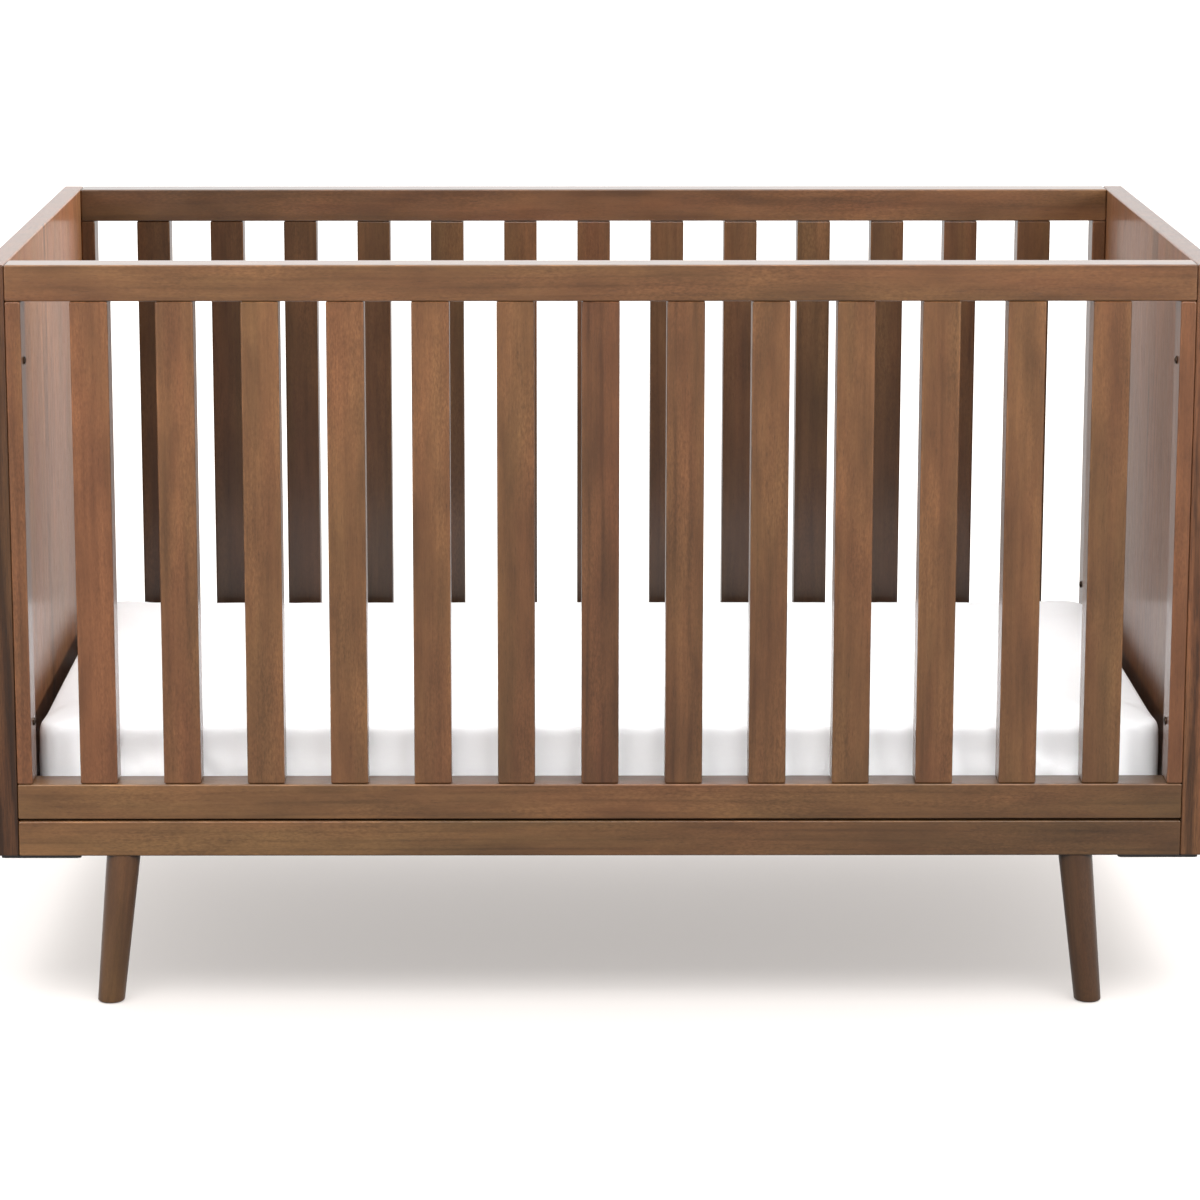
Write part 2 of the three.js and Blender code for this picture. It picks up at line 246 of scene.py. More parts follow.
def make_lights(floor):
    """A wide ceiling bank gives the floor its shadow, and a wash lifts that shadow. The boxes fall on
    the crib alone. Flags keep most of them off the far slats, which have a small box of their own."""
    far_slats = [item for item in bpy.context.scene.objects if item.name.startswith("back_")
                 and "top_rail" not in item.name]
    panels = [bpy.data.objects[f"end_panel_{end}_board"] for end in ENDS]

    ceiling = distant_light("ceiling_bank", CEILING_STRENGTH, CEILING_SPREAD, CEILING_TILT)
    light_links([ceiling], "flagged_ceiling", far_slats, "EXCLUDE")
    wash = distant_light("floor_wash", FLOOR_WASH, 0, (0, 0, 0))
    wash.data.use_shadow = False
    light_links([wash], "washed", [floor], "INCLUDE")

    front = softbox("front_box", FRONT_POWER, (2.4, 0.8), (-0.3, -2.1, 1.8), (-0.1, 0, 0.5), False)
    top = softbox("top_box", TOP_POWER, (3.0, 1.0), (0, -0.9, 2.7), (0, -0.2, 0.5))
    key = softbox("key_box", KEY_POWER, (1.1, 0.9), (2.4, -2.4, 1.5), (-0.2, 0, 0.5))
    fill = softbox("fill_box", FILL_POWER, (1.1, 0.9), (-2.4, -2.4, 1.5), (0.2, 0, 0.5))
    light_links([front, key, fill], "flagged_front", [floor, *far_slats], "EXCLUDE")
    light_links([top], "flagged_top", [floor, *far_slats, *panels], "EXCLUDE")

    far = softbox("far_box", FAR_POWER, (0.9, 0.2), (0.15, 0, 1.15), (0.15, 0.37, 0.7))
    light_links([far], "far_slats_lit", far_slats, "INCLUDE")
    mattress = softbox("mattress_box", MATTRESS_POWER, (2.0, 0.7), (1.1, -2.0, 1.7), (0, 0, 0.3), False)
    mattress.data.color = MATTRESS_LIGHT_COLOR
    light_one("mattress_pad", mattress)
    right = softbox("right_box", RIGHT_POWER, (0.7, 1.4), (2.2, 0.1, 1.35), (-0.6, 0, 0.6), False)
    light_one("end_panel_left_board", right)
    left = softbox("left_box", LEFT_POWER, (0.7, 1.4), (-2.2, 0.1, 1.35), (0.6, 0, 0.6), False)
    light_one("end_panel_right_board", left)


def light_one(piece, light):
    """Lets a light fall on a single piece."""
    light_links([light], f"{piece}_lit", [bpy.data.objects[piece]], "INCLUDE")


def make_world():
    """A white studio: its backdrop and ceiling are bright, and the side that the camera stands on is
    dark. Seen directly it is white all round."""
    world = bpy.data.worlds.new("studio")
    world.use_nodes = True
    nodes, links = world.node_tree.nodes, world.node_tree.links

    def fitted(value, low, high, to_low, to_high):
        node = nodes.new("ShaderNodeMapRange")
        for socket, number in zip(node.inputs[1:5], (low, high, to_low, to_high)):
            socket.default_value = number
        links.new(value, node.inputs["Value"])
        return node.outputs["Result"]

    direction = nodes.new("ShaderNodeSeparateXYZ")
    links.new(nodes.new("ShaderNodeTexCoord").outputs["Generated"], direction.inputs[0])
    lit = nodes.new("ShaderNodeMath")
    lit.operation = "MAXIMUM"
    links.new(fitted(direction.outputs["Y"], -0.35, 0.45, WORLD_FRONT, WORLD_BACK), lit.inputs[0])
    links.new(fitted(direction.outputs["Z"], 0.3, 0.9, WORLD_FRONT, WORLD_TOP), lit.inputs[1])
    seen = nodes.new("ShaderNodeMix")
    links.new(nodes.new("ShaderNodeLightPath").outputs["Is Camera Ray"], seen.inputs[0])
    links.new(lit.outputs[0], seen.inputs[2])
    seen.inputs[3].default_value = WORLD_SEEN
    background = nodes["Background"]
    background.inputs["Color"].default_value = (1, 1, 1, 1)
    links.new(seen.outputs[0], background.inputs["Strength"])
    bpy.context.scene.world = world


def make_floor():
    """A pale floor. The camera sees it pale and the wood's sheen sees it at half that, but it throws
    little light back up at the crib."""
    mesh = bpy.data.meshes.new("floor")
    reach = 30
    corners = [(-reach, -reach, 0), (reach, -reach, 0), (reach, reach, 0), (-reach, reach, 0)]
    mesh.from_pydata(corners, [], [(0, 1, 2, 3)])
    floor = bpy.data.objects.new("floor", mesh)
    floor.location.z = -0.0005
    bpy.context.scene.collection.objects.link(floor)
    paint = Surface("floor_paint", {"Roughness": 0.9, "Specular IOR Level": 0.1})
    ray = paint.node("ShaderNodeLightPath", {}).outputs
    color = paint.mix(ray["Is Glossy Ray"], FLOOR_FLAGGED, FLOOR_MIRRORED)
    color = paint.mix(ray["Is Camera Ray"], color, FLOOR_PALE)
    paint.feed(paint.shader.inputs["Base Color"], color)
    mesh.materials.append(paint.material)
    return floor


# ---- procedural materials -------------------------------------------------------------------

class Surface:
    """One material: a Principled BSDF, and small helpers that add the nodes which feed it."""

    def __init__(self, name, constants):
        self.material = bpy.data.materials.new(name)
        self.material.use_nodes = True
        self.tree = self.material.node_tree
        self.shader = self.tree.nodes["Principled BSDF"]
        for socket, value in constants.items():
            self.shader.inputs[socket].default_value = value

    def feed(self, socket, value):
        if isinstance(value, bpy.types.NodeSocket):
            self.tree.links.new(value, socket)
        else:
            socket.default_value = value

    def node(self, kind, inputs, **settings):
        node = self.tree.nodes.new(kind)
        for key, value in settings.items():
            setattr(node, key, value)
        for key, value in inputs.items():
            self.feed(node.inputs[key], value)
        return node

    def attribute(self, name, output):
        return self.node("ShaderNodeAttribute", {}, attribute_name=name).outputs[output]

    def place(self):
        """Where a point is at rest, in the frame's metres."""
        return self.node("ShaderNodeTexCoord", {}).outputs["Object"]

    def math(self, operation, a, b=0.0):
        return self.node("ShaderNodeMath", {0: a, 1: b}, operation=operation).outputs[0]

    def vector(self, operation, a, b):
        return self.node("ShaderNodeVectorMath", {0: a, 1: b}, operation=operation).outputs[0]

    def noise(self, place, scale, detail=2.0, output="Fac"):
        stretched = self.vector("MULTIPLY", place, scale)
        inputs = {"Vector": stretched, "Scale": 1.0, "Detail": detail, "Roughness": 0.55}
        return self.node("ShaderNodeTexNoise", inputs).outputs[output]

    def fit(self, value, low, high, to_low=0.0, to_high=1.0):
        inputs = {"Value": value, "From Min": low, "From Max": high, "To Min": to_low, "To Max": to_high}
        return self.node("ShaderNodeMapRange", inputs).outputs["Result"]

    def mix(self, factor, a, b, blend="MIX"):
        inputs = {0: factor, 6: a, 7: b}
        node = self.node("ShaderNodeMix", inputs, data_type="RGBA", blend_type=blend)
        return node.outputs[2]

    def shade(self, color, value):
        """The colour times a grey value."""
        grey = self.node("ShaderNodeCombineXYZ", {0: value, 1: value, 2: value}).outputs[0]
        return self.mix(1.0, color, grey, "MULTIPLY")

    def weave(self, place, pitch):
        """Threads that cross on whichever plane the surface lies in, from 0 to 1."""
        turns = self.vector("MULTIPLY", place, (2 * math.pi / pitch,) * 3)
        parts = self.node("ShaderNodeSeparateXYZ", {0: turns}).outputs
        x, y, z = (self.math("SINE", part) for part in parts)
        crossed = self.math("ADD", self.math("MULTIPLY", x, y), self.math("MULTIPLY", y, z))
        crossed = self.math("ADD", crossed, self.math("MULTIPLY", z, x))
        return self.fit(crossed, -1, 1)

    def bump(self, height, distance, strength=1.0):
        inputs = {"Height": height, "Distance": distance, "Strength": strength}
        self.feed(self.shader.inputs["Normal"], self.node("ShaderNodeBump", inputs).outputs[0])


PORE_COLOR = (0.012, 0.006, 0.004, 1)
COOL_TINT = (0.93, 1.04, 0.93, 1)
WARM_TINT = (1.10, 0.94, 0.91, 1)


def wood(name, dark, light, look):
    """Stained wood. Its pattern is solid, in each board's own metres: along the grain, then the
    two ways across it, measured from the middle of the tree."""
    surface = Surface(name, {"Coat Weight": look["coat"], "Coat Roughness": 0.17, "Coat IOR": 1.45,
                             "Specular IOR Level": 0.2})
    straight = surface.attribute("grain", "Vector")
    wander = surface.noise(straight, (1.6, 7, 7), 2, "Color")
    wander = surface.vector("SUBTRACT", wander, (0.5, 0.5, 0.5))
    wander = surface.vector("MULTIPLY", wander, (0, look["wander"], look["wander"]))
    grain = surface.vector("ADD", straight, wander)

    color = surface.mix(wood_figure(surface, grain, look["figure"]), dark, light)
    color = stain_and_shade_drift(surface, color, straight, look["drift"])
    dimmed = surface.math("MULTIPLY", growth_lines(surface, grain, look), flecks(surface, grain, look))
    color = surface.shade(color, surface.math("MULTIPLY", dimmed, worn_and_highlit_edges(surface, straight, look)))
    pores = surface.fit(surface.noise(grain, look["pore_scale"], 2), *look["pore_range"])
    color = surface.mix(surface.math("MULTIPLY", pores, look["pore_depth"]), color, PORE_COLOR)
    surface.feed(surface.shader.inputs["Base Color"], color)

    fibres = surface.noise(grain, (30, 1300, 1300), 2)
    roughness = surface.fit(fibres, 0.25, 0.75, look["roughness"] - 0.05, look["roughness"] + 0.07)
    surface.feed(surface.shader.inputs["Roughness"], roughness)
    relief = surface.math("SUBTRACT", surface.math("MULTIPLY", fibres, 0.35), pores)
    surface.bump(relief, look["relief"], 0.6)
    return surface.material


def wood_figure(surface, grain, weights):
    """How light the wood is, from 0 to 1: clouds, broad bands, streaks and fine fibres."""
    scales = ((9, 34, 34), (3, 60, 60), (7, 240, 240), (22, 800, 800))
    figure = 0.0
    for scale, weight in zip(scales, weights):
        part = surface.fit(surface.noise(grain, scale, 3), 0.3, 0.7, 0, weight)
        figure = surface.math("ADD", figure, part)
    return figure


def growth_lines(surface, grain, look):
    """Dark late wood: thin shells about the tree's middle, strong on some boards and faint on others."""
    parts = surface.node("ShaderNodeSeparateXYZ", {0: grain})
    across = surface.math("MULTIPLY", parts.outputs[1], parts.outputs[1])
    through = surface.math("MULTIPLY", parts.outputs[2], parts.outputs[2])
    distance = surface.math("SQRT", surface.math("ADD", across, through))
    turns = surface.math("MULTIPLY", distance, 2 * math.pi / look["ring_pitch"])
    shells = surface.math("POWER", surface.fit(surface.math("SINE", turns), -1, 1), look["ring_width"])
    broken = surface.fit(surface.noise(grain, (5, 60, 60), 3), 0.38, 0.6)
    figured = surface.fit(surface.attribute("figured", "Fac"), 0, 2, 0.1, 1.9)
    strength = surface.math("MULTIPLY", surface.math("MULTIPLY", shells, broken), figured)
    return surface.fit(strength, 0, 1, 1, 1 - look["ring_depth"])


def flecks(surface, grain, look):
    """Short light and dark dashes, in patches."""
    dashes = surface.fit(surface.noise(grain, (190, 560, 560), 2), 0.3, 0.7, -1, 1)
    patches = surface.fit(surface.noise(grain, (5, 26, 26), 2), 0.42, 0.68, 0.25, 1)
    strength = surface.math("MULTIPLY", dashes, patches)
    return surface.fit(strength, -1, 1, 1 - look["fleck"], 1 + look["fleck"])


def stain_and_shade_drift(surface, color, place, amount):
    """The stain took unevenly: warm and olive stretches and soft blotches. Each board's own tone is
    partly stain and partly painted shade, which darkens one end of some boards.
    """
    warmth = surface.fit(surface.noise(place, (2.6, 18, 18), 3), 0.3, 0.7, -0.75, 0.75)
    warmth = surface.math("ADD", warmth, surface.attribute("warmth", "Fac"))
    warmth = surface.fit(warmth, -1, 1)
    tint = surface.mix(warmth, COOL_TINT, WARM_TINT)
    color = surface.mix(1.0, color, tint, "MULTIPLY")
    blotch = surface.fit(surface.noise(place, (5, 24, 24), 3), 0.3, 0.7, 1 - amount, 1 + amount)
    tone = surface.fit(surface.attribute("tone", "Fac"), -2, 2, 0.44, 1.56)
    return surface.shade(color, surface.math("MULTIPLY", blotch, tone))


def worn_and_highlit_edges(surface, place, look):
    """The eased edges are paler, in patches: partly handling wear and partly a painted highlight, where
    the rounds catch the light.
    """
    edge = surface.attribute("edge", "Fac")
    patches = surface.fit(surface.noise(place, (30, 90, 90), 3), 0.4, 0.6)
    # rubbed carries both the wear and the painted highlight on the eased edges.
    rubbed = surface.math("MULTIPLY", edge, patches)
    return surface.fit(rubbed, 0, 1, 1, 1 + look["edge"])


def walnut_wood():
    look = {"coat": 0.6, "roughness": 0.4, "wander": 0.016,
            "ring_width": 5, "ring_pitch": 0.0105, "ring_depth": 0.42,
            "figure": (0.48, 0.26, 0.16, 0.1), "drift": 0.13, "fleck": 0.24,
            "pore_scale": (75, 1900, 1900), "pore_range": (0.6, 0.72), "pore_depth": 0.45,
            "edge": 0.7, "relief": 0.0001}
    return wood("walnut_wood", (0.052, 0.0225, 0.0098, 1), (0.133, 0.0615, 0.0265, 1), look)


def panel_veneer():
    look = {"coat": 0.4, "roughness": 0.42, "wander": 0.020,
            "ring_width": 2.5, "ring_pitch": 0.0068, "ring_depth": 0.6,
            "figure": (0.14, 0.2, 0.36, 0.3), "drift": 0.1, "fleck": 0.16,
            "pore_scale": (45, 1300, 1300), "pore_range": (0.55, 0.66), "pore_depth": 0.55,
            "edge": 0.12, "relief": 0.0002}
    return wood("panel_veneer", (0.035, 0.0152, 0.0070, 1), (0.145, 0.067, 0.0300, 1), look)


def powder_coat():
    surface = Surface("black_powder_coat", {"Metallic": 0.0, "IOR": 1.5})
    place = surface.place()
    peel = surface.noise(place, (900, 900, 900), 3)
    dust = surface.fit(surface.noise(place, (60, 60, 60), 4), 0.45, 0.75)
    surface.feed(surface.shader.inputs["Base Color"],
                 surface.mix(dust, (0.012, 0.012, 0.013, 1), (0.035, 0.033, 0.031, 1)))
    surface.feed(surface.shader.inputs["Roughness"], surface.fit(dust, 0, 1, 0.42, 0.62))
    surface.bump(peel, 0.0001, 0.5)
    return surface.material


def zinc_plate():
    """Bright zinc over rolled steel: faint rolling lines, cloudy passivation and small dull spots."""
    surface = Surface("zinc_plate", {"Metallic": 1.0})
    place = surface.place()
    clouds = surface.fit(surface.noise(place, (22, 22, 22), 4), 0.3, 0.7)
    spots = surface.fit(surface.noise(place, (260, 260, 260), 2), 0.6, 0.7)
    color = surface.mix(clouds, (0.50, 0.51, 0.53, 1), (0.68, 0.67, 0.63, 1))
    color = surface.mix(surface.math("MULTIPLY", spots, 0.35), color, (0.30, 0.29, 0.27, 1))
    surface.feed(surface.shader.inputs["Base Color"], color)
    surface.feed(surface.shader.inputs["Roughness"], surface.fit(clouds, 0, 1, 0.26, 0.42))
    surface.bump(surface.noise(place, (500, 500, 1400), 2), 0.00005, 0.5)
    return surface.material


def bolt_bronze():
    """The dark antique finish of furniture bolts, rubbed bright on the corners by the key."""
    surface = Surface("bolt_bronze", {"Metallic": 1.0})
    place = surface.place()
    rubbed = surface.fit(surface.noise(place, (420, 420, 420), 3), 0.5, 0.72)
    surface.feed(surface.shader.inputs["Base Color"],
                 surface.mix(rubbed, (0.035, 0.024, 0.018, 1), (0.16, 0.11, 0.08, 1)))
    surface.feed(surface.shader.inputs["Roughness"], surface.fit(rubbed, 0, 1, 0.5, 0.32))
    surface.bump(surface.noise(place, (1500, 1500, 1500), 2), 0.00004, 0.5)
    return surface.material


def mattress_fabric():
    """Close woven cotton: a sub-millimetre weave, slubs, and a trace of unevenness in the white."""
    surface = Surface("mattress_fabric", {"Roughness": 0.9, "Sheen Weight": 0.15, "Sheen Roughness": 0.5,
                                          "Specular IOR Level": 0.25})
    place = surface.place()
    weave = surface.weave(place, 0.0009)
    slubs = surface.noise(place, (160, 160, 160), 3)
    clouds = surface.noise(place, (6, 6, 6), 3)
    color = surface.mix(surface.fit(clouds, 0.3, 0.7), (0.90, 0.90, 0.915, 1), (0.94, 0.94, 0.945, 1))
    color = surface.shade(color, surface.fit(weave, 0, 1, 0.95, 1.0))
    surface.feed(surface.shader.inputs["Base Color"], color)
    surface.feed(surface.shader.inputs["Roughness"], surface.fit(slubs, 0.3, 0.7, 0.82, 0.96))
    height = surface.math("ADD", surface.math("MULTIPLY", weave, 0.5), slubs)
    surface.bump(height, 0.00018, 0.5)
    return surface.material


# ---- mesh helpers ---------------------------------------------------------------------------

def add_piece(name, mesh, body, material, replaced=()):
    piece = bpy.data.objects.new(name, mesh)
    bpy.context.scene.collection.objects.link(piece)
    mesh.materials.clear()
    mesh.materials.append(material)
    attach(piece, body)
    if replaced:
        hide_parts(*replaced)
    return piece


def points_of(mesh):
    points = np.zeros(3 * len(mesh.vertices))
    mesh.vertices.foreach_get("co", points)
    return points.reshape(-1, 3)


def store(mesh, name, values):
    """Keeps one value, or one row of three, for each vertex."""
    values = np.asarray(values, np.float32)
    kind, field = ("FLOAT_VECTOR", "vector") if values.ndim == 2 else ("FLOAT", "value")
    mesh.attributes.new(name, kind, "POINT").data.foreach_set(field, values.ravel())


def lay_grain(mesh, name, axis, lines=None, **given):
    """Gives a wooden piece its own place in a tree. Axis is the way its grain runs: 0, 1 or 2.
    A trait that is given is one value, or one for each end of the piece."""
    chance = random.Random(name)
    points = points_of(mesh) if lines is None else lines
    middle = (points.min(0) + points.max(0)) / 2
    order = [axis, (axis + 1) % 3, (axis + 2) % 3]
    angle = chance.uniform(0, 2 * math.pi)
    radius = chance.uniform(0.05, 0.13)
    start = (chance.uniform(0, 40), radius * math.cos(angle), radius * math.sin(angle))
    store(mesh, "grain", (points - middle)[:, order] + start)
    ranges = {"warmth": (-0.35, 0.35), "tone": (-0.3, 0.3), "figured": (0.0, 0.6)}
    along = (points[:, axis] - points[:, axis].min()) / np.ptp(points[:, axis])
    for trait, limits in ranges.items():
        drawn = chance.uniform(*limits)
        start, end = np.broadcast_to(given.get(trait, drawn), 2)
        store(mesh, trait, start + (end - start) * along)


def rounded_board(name, low, high, radius=BOARD_ROUND):
    """A board with every edge rounded. Its normals are those of the true round, so flats stay flat."""
    edit = bmesh.new()
    size = high - low
    place = Matrix.Translation((low + high) / 2) @ Matrix.Diagonal((*size, 1))
    bmesh.ops.create_cube(edit, size=1, matrix=place)
    bmesh.ops.bevel(edit, geom=edit.edges, offset=radius, segments=BOARD_ROUND_STEPS, profile=0.5,
                    affect="EDGES")
    mesh = bpy.data.meshes.new(name)
    edit.to_mesh(mesh)
    edit.free()
    mesh.shade_smooth()
    return mesh


def off_the_flats(points, low, high, radius):
    """From the board's inner core to each point: a vector that is square to the surface there."""
    low, high = np.array(low) + radius, np.array(high) - radius
    return points - np.clip(points, low, high)


def finish_board(mesh, low, high, radius=BOARD_ROUND):
    """Sets a board's normals, and marks how far round an edge each vertex is, from 0 on the flats."""
    out = off_the_flats(points_of(mesh), low, high, radius)
    length = np.linalg.norm(out, axis=1)
    inner = length < radius * 0.5  # inside the outline: the walls of a hole
    flatness = np.abs(out).max(1) / np.maximum(length, 1e-9)
    store(mesh, "edge", np.where(inner, 0, np.clip((1 - flatness) / 0.29, 0, 1)))
    normals = []
    for face in mesh.polygons:
        hole = inner[list(face.vertices)].any()
        for corner in face.vertices:
            normal = face.normal if hole else Vector(out[corner] / length[corner])
            normals.append(normal)
    mesh.normals_split_custom_set(normals)


def cut_holes(mesh, holes):
    """Takes round holes, each (place, direction, radius, depth), out of a board."""
    edit = bmesh.new()
    for place, direction, radius, depth in holes:
        turn = Vector(direction).to_track_quat("Z", "Y").to_matrix().to_4x4()
        matrix = Matrix.Translation(place) @ turn
        bmesh.ops.create_cone(edit, cap_ends=True, segments=32, radius1=radius, radius2=radius,
                              depth=2 * depth, matrix=matrix)
    cutter_mesh = bpy.data.meshes.new("cutter")
    edit.to_mesh(cutter_mesh)
    edit.free()
    cutter = bpy.data.objects.new("cutter", cutter_mesh)
    board = bpy.data.objects.new("uncut", mesh)
    for item in (cutter, board):
        bpy.context.scene.collection.objects.link(item)
    cut = board.modifiers.new("cut", "BOOLEAN")
    cut.object = cutter
    cut.solver = "EXACT"
    result = evaluated_mesh(board)
    for item in (cutter, board):
        bpy.data.objects.remove(item)
    return result


def evaluated_mesh(item):
    graph = bpy.context.evaluated_depsgraph_get()
    return bpy.data.meshes.new_from_object(item.evaluated_get(graph), depsgraph=graph)


def turned(name, profile, sides, hexagons=()):
    """A solid of revolution about Z. Profile rows are (height, radius); the rows whose numbers are in
    hexagons are six-sided instead, as a key's socket is."""
    angles = [2 * math.pi * i / sides for i in range(sides)]
    points, faces = [], []
    for row, (height, radius) in enumerate(profile):
        for angle in angles:
            reach = radius
            if row in hexagons:
                reach = radius / math.cos((angle % (math.pi / 3)) - math.pi / 6)
            points.append((reach * math.cos(angle), reach * math.sin(angle), height))
    for row in range(len(profile) - 1):
        for i in range(sides):
            j = (i + 1) % sides
            here, above = row * sides, (row + 1) * sides
            faces.append((here + i, here + j, above + j, above + i))
    faces.append(tuple(reversed(range(sides))))
    faces.append(tuple((len(profile) - 1) * sides + i for i in range(sides)))
    mesh = bpy.data.meshes.new(name)
    mesh.from_pydata(points, [], faces)
    mesh.shade_smooth()
    mesh.set_sharp_from_angle(angle=math.radians(35))
    return mesh


def bolt_head(name, radius, height, socket):
    """A domed head with a hexagonal socket, standing on z = 0."""
    dome = [(height * (0.3 + 0.7 * math.sin(turn)), radius * (0.55 + 0.45 * math.cos(turn)))
            for turn in (math.pi / 2 * i / 5 for i in range(6))]
    profile = [(0, radius * 0.96), (height * 0.1, radius)] + dome
    profile += [(height, socket * 1.12), (height * 0.93, socket), (height * 0.25, socket)]
    last = len(profile) - 1
    return turned(name, profile, 48, hexagons=(last - 1, last))


def joined(name, parts):
    """One mesh of several, each (mesh, matrix)."""
    edit = bmesh.new()
    for mesh, matrix in parts:
        copy = mesh.copy()
        copy.transform(matrix)
        edit.from_mesh(copy)
        bpy.data.meshes.remove(copy)
    result = bpy.data.meshes.new(name)
    edit.to_mesh(result)
    edit.free()
    result.shade_smooth()
    result.set_sharp_from_angle(angle=math.radians(35))
    return result


def facing(place, direction):
    """Stands a part that was made on z = 0 at a place, with its Z along the direction."""
    turn = Vector(direction).to_track_quat("Z", "Y").to_matrix().to_4x4()
    return Matrix.Translation(place) @ turn


def wires(name, lines, thickness, sides=3):
    """Round wires along lists of points, as one mesh with closed ends."""
    curve = bpy.data.curves.new(name, "CURVE")
    curve.dimensions = "3D"
    curve.bevel_depth = thickness / 2
    curve.bevel_resolution = sides
    curve.use_fill_caps = True
    for line in lines:
        spline = curve.splines.new("POLY")
        spline.points.add(len(line) - 1)
        for point, place in zip(spline.points, line):
            point.co = (*place, 1)
    item = bpy.data.objects.new(name, curve)
    bpy.context.scene.collection.objects.link(item)
    mesh = evaluated_mesh(item)
    bpy.data.objects.remove(item)
    mesh.name = name
    mesh.shade_smooth()
    mesh.set_sharp_from_angle(angle=math.radians(50))
    return mesh


# ---- wooden body ----------------------------------------------------------------------------

def add_board(node, axis, material, slot="walnut_wood", holes=(), **grain):
    low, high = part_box(node)
    mesh = rounded_board(node, low, high)
    if holes:
        mesh = cut_holes(mesh, holes)
        mesh.shade_smooth()
    finish_board(mesh, low, high)
    lay_grain(mesh, node, axis, **grain)
    return add_piece(f"{node}_board", mesh, "crib_frame", material, [node])


def support_bolt_place(side, end):
    """Where a support bolt's axis meets the face of the end panel."""
    low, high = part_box(f"support_bolt_{side}_{end}")
    middle = (low + high) / 2
    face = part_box(f"end_panel_{end}")[0 if end == "right" else 1].x
    return Vector((face, middle.y, middle.z))


def insert_places(end):
    places = []
    for side in SIDES:
        for height in INSERT_SETTINGS:
            places.append(support_bolt_place(side, end) + Vector((0, 0, height)))
    return places


def add_end_panel(end, material):
    """A veneered panel. The bands on its two upright edges are a strip of another board."""
    outward = (ENDS[end], 0, 0)
    holes = [(place, outward, INSERT_RADIUS, INSERT_DEPTH) for place in insert_places(end)]
    panel = add_board(f"end_panel_{end}", 2, material, "panel_veneer", holes, tone=PANEL_TONE,
                      warmth=PANEL_WARMTH, figured=PANEL_FIGURE)
    points = points_of(panel.data)
    band = np.abs(points[:, 1]) > np.abs(points[:, 1]).max() - BOARD_ROUND
    traits = {"tone": (BAND_TONE[end], PANEL_TONE), "figured": (BAND_FIGURE, PANEL_FIGURE)}
    for trait, (on_band, on_face) in traits.items():
        values = np.where(band, on_band, on_face).astype(np.float32)
        panel.data.attributes[trait].data.foreach_set("value", values)


def add_side_frame(side, material):
    for rail, tone in RAIL_TONE_AND_SHADE[side].items():
        add_board(f"{side}_{rail}", 0, material, tone=tone, warmth=RAIL_WARMTH[rail])
    for end in ENDS:
        add_board(f"{side}_stile_{end}", 2, material, warmth=STILE_WARMTH[side], tone=STILE_TONE)
    for i in range(SLAT_COUNT):
        given = {"tone": FAR_SLAT_SHADE}
        if side == "front":
            tone = FRONT_SLAT_TONE[i]
            given = {"warmth": FRONT_SLAT_WARMTH[i], "tone": (tone - SLAT_FOOT_SHADE, tone),
                     "figured": FRONT_SLAT_FIGURE[i]}
        add_board(f"{side}_slat_{i + 1:02d}", 2, material, **given)


def add_leg(side, end, material):
    """A round taper that leans outwards, its foot cut level with the floor and eased."""
    node = f"leg_{side}_{end}"
    low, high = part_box(node)
    foot, top = Vector((0, 0, low.z)), Vector((0, 0, high.z))
    for axis, sign in ((0, ENDS[end]), (1, SIDES[side])):
        outer, inner = (high, low) if sign > 0 else (low, high)
        foot[axis] = outer[axis] - sign * LEG_FOOT_RADIUS
        top[axis] = inner[axis] + sign * LEG_TOP_RADIUS
    height = top.z - foot.z
    profile = [(0, LEG_FOOT_RADIUS - LEG_FOOT_ROUND)]
    for i in range(1, LEG_FOOT_STEPS + 1):
        turn = math.pi / 2 * i / LEG_FOOT_STEPS
        rise = LEG_FOOT_ROUND * (1 - math.cos(turn))
        profile.append((rise, LEG_FOOT_RADIUS - LEG_FOOT_ROUND * (1 - math.sin(turn))))
    for i in range(1, LEG_STEPS + 1):
        share = i / LEG_STEPS
        radius = LEG_FOOT_RADIUS + share * (LEG_TOP_RADIUS - LEG_FOOT_RADIUS)
        profile.append((LEG_FOOT_ROUND + share * (height - LEG_FOOT_ROUND), radius))
    mesh = turned(node, profile, LEG_SIDES)
    grain = points_of(mesh)
    lean = Matrix.Identity(4)
    lean.col[2] = (*(top - foot) / height, 0)
    lean.col[3] = (*foot, 1)
    mesh.transform(lean)
    store(mesh, "edge", np.clip(1 - grain[:, 2] / LEG_FOOT_ROUND, 0, 1))
    lay_grain(mesh, node, 2, warmth=0.0, tone=LEG_TONE[end], lines=grain)
    add_piece(f"{node}_turning", mesh, "crib_frame", material, [node])


# ---- steel hardware -------------------------------------------------------------------------

def insert_mesh():
    """A flanged insert with a threaded bore, its mouth at z = 0 and its body towards -Z."""
    body, flange, mouth = INSERT_RADIUS * 0.85, INSERT_RADIUS * 0.97, INSERT_BORE * 1.12
    crest, root = INSERT_BORE * 0.9, INSERT_BORE * 1.05
    profile = [(THREAD_PITCH - INSERT_DEPTH, body), (-2 * THREAD_PITCH, body), (-INSERT_LIP, flange),
               (-INSERT_LIP / 5, flange), (0, INSERT_RADIUS * 0.9), (0, mouth)]
    for i in range(THREAD_TURNS):
        profile.append((-THREAD_PITCH * (i + 0.5), crest))
        profile.append((-THREAD_PITCH * (i + 1.0), root))
    return turned("insert", profile, 32)


def add_inserts(end, material):
    inward = (-ENDS[end], 0, 0)
    sunk = Vector((ENDS[end] * INSERT_SUNK, 0, 0))
    mesh = insert_mesh()
    parts = [(mesh, facing(place + sunk, inward)) for place in insert_places(end)]
    add_piece(f"threaded_inserts_{end}", joined("inserts", parts), "crib_frame", material)


